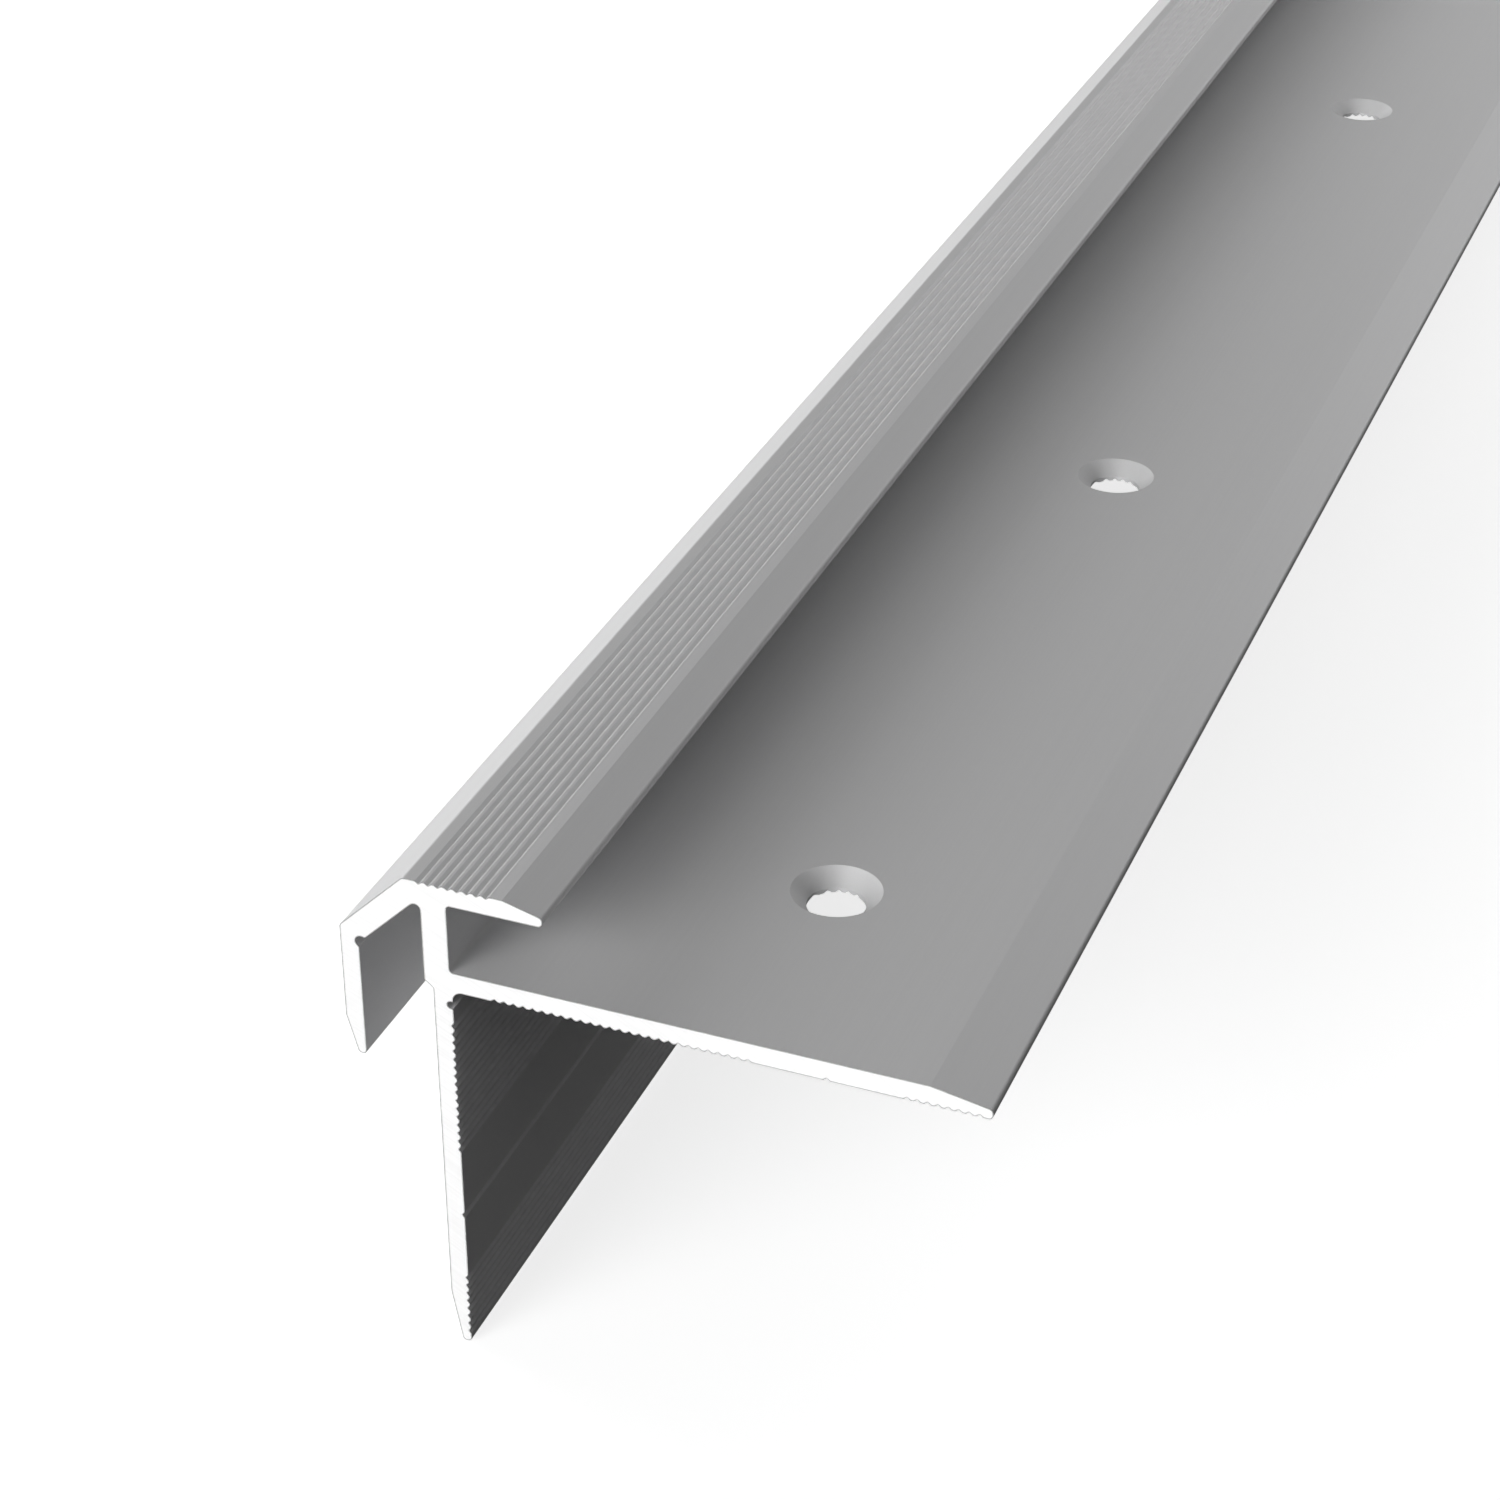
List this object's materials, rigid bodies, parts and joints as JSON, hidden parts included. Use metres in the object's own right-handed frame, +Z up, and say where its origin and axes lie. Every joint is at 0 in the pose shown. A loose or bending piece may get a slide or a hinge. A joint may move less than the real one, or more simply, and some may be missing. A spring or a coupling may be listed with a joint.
{
  "type": "threshold strip",
  "caption": "Stair-edge threshold strip: an aluminium extrusion with a sloped ribbed nose, an open slot for the tread covering, a pocket for the riser covering and countersunk screw holes.",
  "frame": {"origin": "on the middle screw hole's axis at the underside of the flange, halfway along the strip", "axes": "+X from the nose over the tread, +Y along the strip, +Z up, out of the countersunk side of the screw holes"},
  "size_m": [0.0562, 0.9, 0.0475],
  "materials": {
    "anodised_aluminium": "satin natural anodised, sawn ends bare"
  },
  "bodies": {
    "root": {"profile": "anodised_aluminium"}
  },
  "joints": []
}
